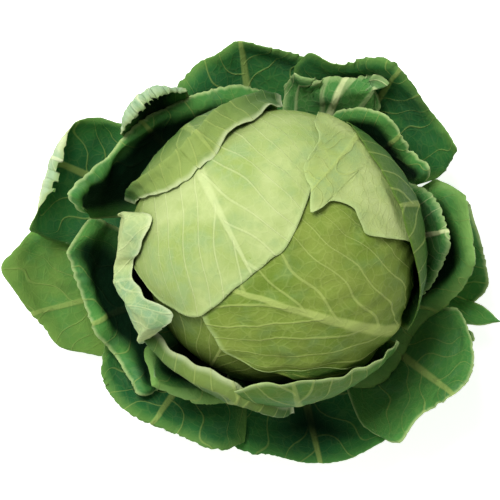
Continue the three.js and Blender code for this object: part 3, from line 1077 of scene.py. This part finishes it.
@dataclass
class Heart:
    """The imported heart: a closed, faintly ribbed egg that shows between the head's leaves."""

    columns: int = 150
    rows: int = 90

    def make(self, head: Head) -> bpy.types.Object:
        """Build, dress and place the heart.

        Args:
            head: The head's size.

        Returns:
            The finished piece.
        """
        inset = 10.9 * MM
        radius, half_height = head.radius - inset, head.half_height - inset
        climb = np.linspace(0, math.pi, self.rows + 1)[1:-1, None]
        turn = np.linspace(0, 2 * math.pi, self.columns, endpoint=False)[None, :]
        unit = np.stack([np.sin(climb) * np.cos(turn), np.sin(climb) * np.sin(turn),
                         -np.cos(climb) * np.ones_like(turn)], axis=2)
        grid = unit * np.array([radius, radius, half_height])
        grid += unit * (0.5 * MM * Ripples(301, 40 * MM).at(grid) - 0.3 * MM)[..., None]
        grid[..., 2] += head.centre
        return self._piece(grid, head, half_height, climb, turn)

    def _piece(self, grid: np.ndarray, head: Head, half_height: float, climb: np.ndarray,
               turn: np.ndarray) -> bpy.types.Object:
        """Close the grid with two poles and dress it.

        Args:
            grid: The rings of surface points, from the lowest.
            head: The head's size.
            half_height: The distance from the centre to either pole.
            climb: The angle of each ring from the lowest point.
            turn: The angle of each column round the head.

        Returns:
            The finished piece.
        """
        low = [[0.0, 0.0, head.centre - half_height]]
        high = [[0.0, 0.0, head.centre + half_height]]
        points = np.concatenate([grid.reshape(-1, 3), low, high])
        rings, wide = grid.shape[:2]
        faces: list[tuple[int, ...]] = []
        for ring in range(rings - 1):
            for column in range(wide):
                corner, beside = ring * wide + column, ring * wide + (column + 1) % wide
                faces.append((corner, beside, beside + wide, corner + wide))
        bottom, top = rings * wide, rings * wide + 1
        last = (rings - 1) * wide
        for column in range(wide):
            beside = (column + 1) % wide
            faces.append((bottom, beside, column))
            faces.append((top, last + column, last + beside))
        mesh = bpy.data.meshes.new("heart_surface")
        mesh.from_pydata(points.tolist(), [], faces)
        mesh.polygons.foreach_set("use_smooth", [True] * len(faces))
        across = (np.sin(turn * 3) * 4) * np.ones_like(climb)
        along = climb * 9 * np.ones_like(turn)
        values = np.stack([across.ravel(), along.ravel()], axis=1)
        values = np.concatenate([values, [[0, 0], [0, 28]]])
        corners = np.empty(len(mesh.loops), dtype=np.int32)
        mesh.loops.foreach_get("vertex_index", corners)
        for name, table in (("leaf", values), ("edge", values * 0 + [3, 0.9])):
            layer = mesh.uv_layers.new(name=name)
            layer.data.foreach_set("uv", table[corners].astype(np.float32).ravel())
        piece = bpy.data.objects.new("heart_surface", mesh)
        bpy.context.scene.collection.objects.link(piece)
        piece.data.materials.append(YELLOW_HEAD.make("heart_finish", FAN_VEINS))
        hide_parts("heart")
        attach(piece, "root")
        return piece


@dataclass
class Stump:
    """The short cut stem: a flat cut face, a scarred side and a top under the heart."""

    columns: int = 120
    rows: int = 60

    def make(self, head: Head) -> bpy.types.Object:
        """Build, dress and place the stump.

        Args:
            head: The head's size.

        Returns:
            The finished piece.
        """
        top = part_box("stump")[1][2]
        radius = head.stem
        outline = ((0.0001, 0.0), (0.5 * radius, 0.0), (radius - 0.8 * MM, 0.0),
                   (radius - 0.2 * MM, 0.8 * MM), (radius - 0.4 * MM, 8 * MM),
                   (radius, 22 * MM), (radius - 1 * MM, 31 * MM), (radius - 5 * MM, top),
                   (0.0001, top))
        profile = self._dense(outline)
        turn = np.linspace(0, 2 * math.pi, self.columns, endpoint=False)
        grid = np.stack([profile[:, :1] * np.cos(turn), profile[:, :1] * np.sin(turn),
                         profile[:, 1:] * np.ones_like(turn)], axis=2)
        scars = Ripples(311, 11 * MM, 12).at(grid) * 0.45 * MM
        scars -= 0.5 * MM
        inside = np.clip(profile[:, 1] / (3 * MM), 0, 1) * np.clip((top - profile[:, 1])
                                                                   / (3 * MM), 0, 1)
        grid[..., :2] *= (1 + (scars * inside[:, None] / radius))[..., None]
        return self._piece(grid, profile)

    def _dense(self, outline: Pairs) -> np.ndarray:
        """The outline with evenly spaced points."""
        given = np.array(outline)
        run = np.concatenate([[0], np.cumsum(np.linalg.norm(np.diff(given, axis=0), axis=1))])
        wanted = np.linspace(0, run[-1], self.rows + 1)
        return np.stack([np.interp(wanted, run, given[:, 0]),
                         np.interp(wanted, run, given[:, 1])], axis=1)

    def _piece(self, grid: np.ndarray, profile: np.ndarray) -> bpy.types.Object:
        """Close the grid and dress it.

        Args:
            grid: The rings of surface points, from the cut face's centre.
            profile: The radius and height of each ring.

        Returns:
            The finished piece.
        """
        rings, wide = grid.shape[:2]
        points = grid.reshape(-1, 3).tolist()
        faces: list[tuple[int, ...]] = []
        for ring in range(rings - 1):
            for column in range(wide):
                corner, beside = ring * wide + column, ring * wide + (column + 1) % wide
                faces.append((corner, beside, beside + wide, corner + wide))
        faces.append(tuple(reversed(range(wide))))
        faces.append(tuple((rings - 1) * wide + column for column in range(wide)))
        mesh = bpy.data.meshes.new("stump_surface")
        mesh.from_pydata(points, [], faces)
        mesh.polygons.foreach_set("use_smooth", [True] * len(faces))
        out = (profile[:, :1] / CM) * np.ones((1, wide))
        around = np.ones((rings, 1)) * np.linspace(0, 12, wide)[None, :]
        values = np.stack([around.ravel(), out.ravel()], axis=1)
        corners = np.empty(len(mesh.loops), dtype=np.int32)
        mesh.loops.foreach_get("vertex_index", corners)
        layer = mesh.uv_layers.new(name="leaf")
        layer.data.foreach_set("uv", values[corners].astype(np.float32).ravel())
        piece = bpy.data.objects.new("stump_surface", mesh)
        bpy.context.scene.collection.objects.link(piece)
        piece.data.materials.append(StemFinish().make("stump_finish"))
        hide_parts("stump")
        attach(piece, "root")
        return piece


# --- Studio ------------------------------------------------------------------------------------


@dataclass
class Studio:
    """A pale floor, soft lights and a camera straight above the head."""

    lens: float = 260.0
    sensor: float = 36.0
    margin: float = 1.012

    def build(self) -> None:
        """Make the floor, the lights, the world and the camera."""
        self._floor()
        self._lights()
        self._camera()
        view = bpy.context.scene.view_settings
        view.view_transform = "Standard"
        view.look = "None"

    def _floor(self) -> None:
        """Lay a large pale floor just under the cut face."""
        half = 3.0
        corners = [(-half, -half, -0.2 * MM), (half, -half, -0.2 * MM), (half, half, -0.2 * MM),
                   (-half, half, -0.2 * MM)]
        mesh = bpy.data.meshes.new("floor")
        mesh.from_pydata(corners, [], [(0, 1, 2, 3)])
        floor = bpy.data.objects.new("floor", mesh)
        bpy.context.scene.collection.objects.link(floor)
        graph = Graph("floor_finish")
        place = graph.value("ShaderNodeTexCoord", output="Object")
        tone = graph.blend(graph.noise(place, 3.0), srgb(250, 250, 250), srgb(244, 244, 244))
        lit = {"Emission Color": (1.0, 1.0, 1.0, 1.0), "Emission Strength": 0.68}
        grain = graph.noise(place, 300.0)
        floor.data.materials.append(graph.finish(tone, 0.9, grain, 0.05 * MM, lit))
        floor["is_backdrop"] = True

    def _lights(self) -> None:
        """Hang the key light over the far side, and two weak fills."""
        self._area("key", (-0.45, 0.65, 1.7), 0.7, 34.0)
        self._area("fill_left", (-1.5, -0.2, 1.1), 1.2, 4.0)
        self._area("fill_right", (1.3, -0.9, 1.2), 1.2, 3.5)
        world = bpy.data.worlds.new("studio")
        world.use_nodes = True
        ground = world.node_tree.nodes["Background"]
        ground.inputs["Color"].default_value = (1.0, 1.0, 1.0, 1.0)
        ground.inputs["Strength"].default_value = 0.27
        bpy.context.scene.world = world

    @staticmethod
    def _area(name: str, place: tuple[float, float, float], size: float, power: float) -> None:
        """Hang one square light, aimed at the middle of the head.

        Args:
            name: The light's name.
            place: Where it hangs.
            size: The length of its side.
            power: Its power in watts.
        """
        data = bpy.data.lights.new(name, "AREA")
        data.size = size
        data.energy = power
        lamp = bpy.data.objects.new(name, data)
        lamp.location = place
        x, y, z = place[0], place[1], place[2] - 0.1
        lamp.rotation_euler = (math.atan2(math.hypot(x, y), z), 0, math.atan2(y, x) + math.pi / 2)
        bpy.context.scene.collection.objects.link(lamp)

    def _camera(self) -> None:
        """Look straight down at the whole cabbage, with +Y up in the picture."""
        low, high = CAD_BOUNDS
        data = bpy.data.cameras.new("camera")
        data.lens = self.lens
        data.sensor_width = self.sensor
        across = (high[0] - low[0]) * self.margin
        camera = bpy.data.objects.new("camera", data)
        camera.location = ((low[0] + high[0]) / 2, (low[1] + high[1]) / 2,
                           0.07 + across * self.lens / self.sensor)
        bpy.context.scene.collection.objects.link(camera)
        bpy.context.scene.camera = camera


def write_sizes() -> None:
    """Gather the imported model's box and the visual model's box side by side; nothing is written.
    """
    boxes = {"cad": CAD_BOUNDS, "visual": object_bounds()}
    plain = {name: [[float(part) for part in corner] for corner in box]
             for name, box in boxes.items()}


def main() -> None:
    """Build the studio, then the cabbage from the stem outwards."""
    logging.basicConfig(level=logging.INFO, format="%(name)s: %(message)s")
    Studio().build()
    head = Head.from_frame()
    makers = [Stump(), Heart(), *head_leaves(), *wrapper_leaves(), *outer_leaves()]
    for maker in makers:
        piece = maker.make(head)
        LOG.info("%s: %d faces", piece.name, len(piece.data.polygons))
    write_sizes()


if __name__ == "__main__":
    main()
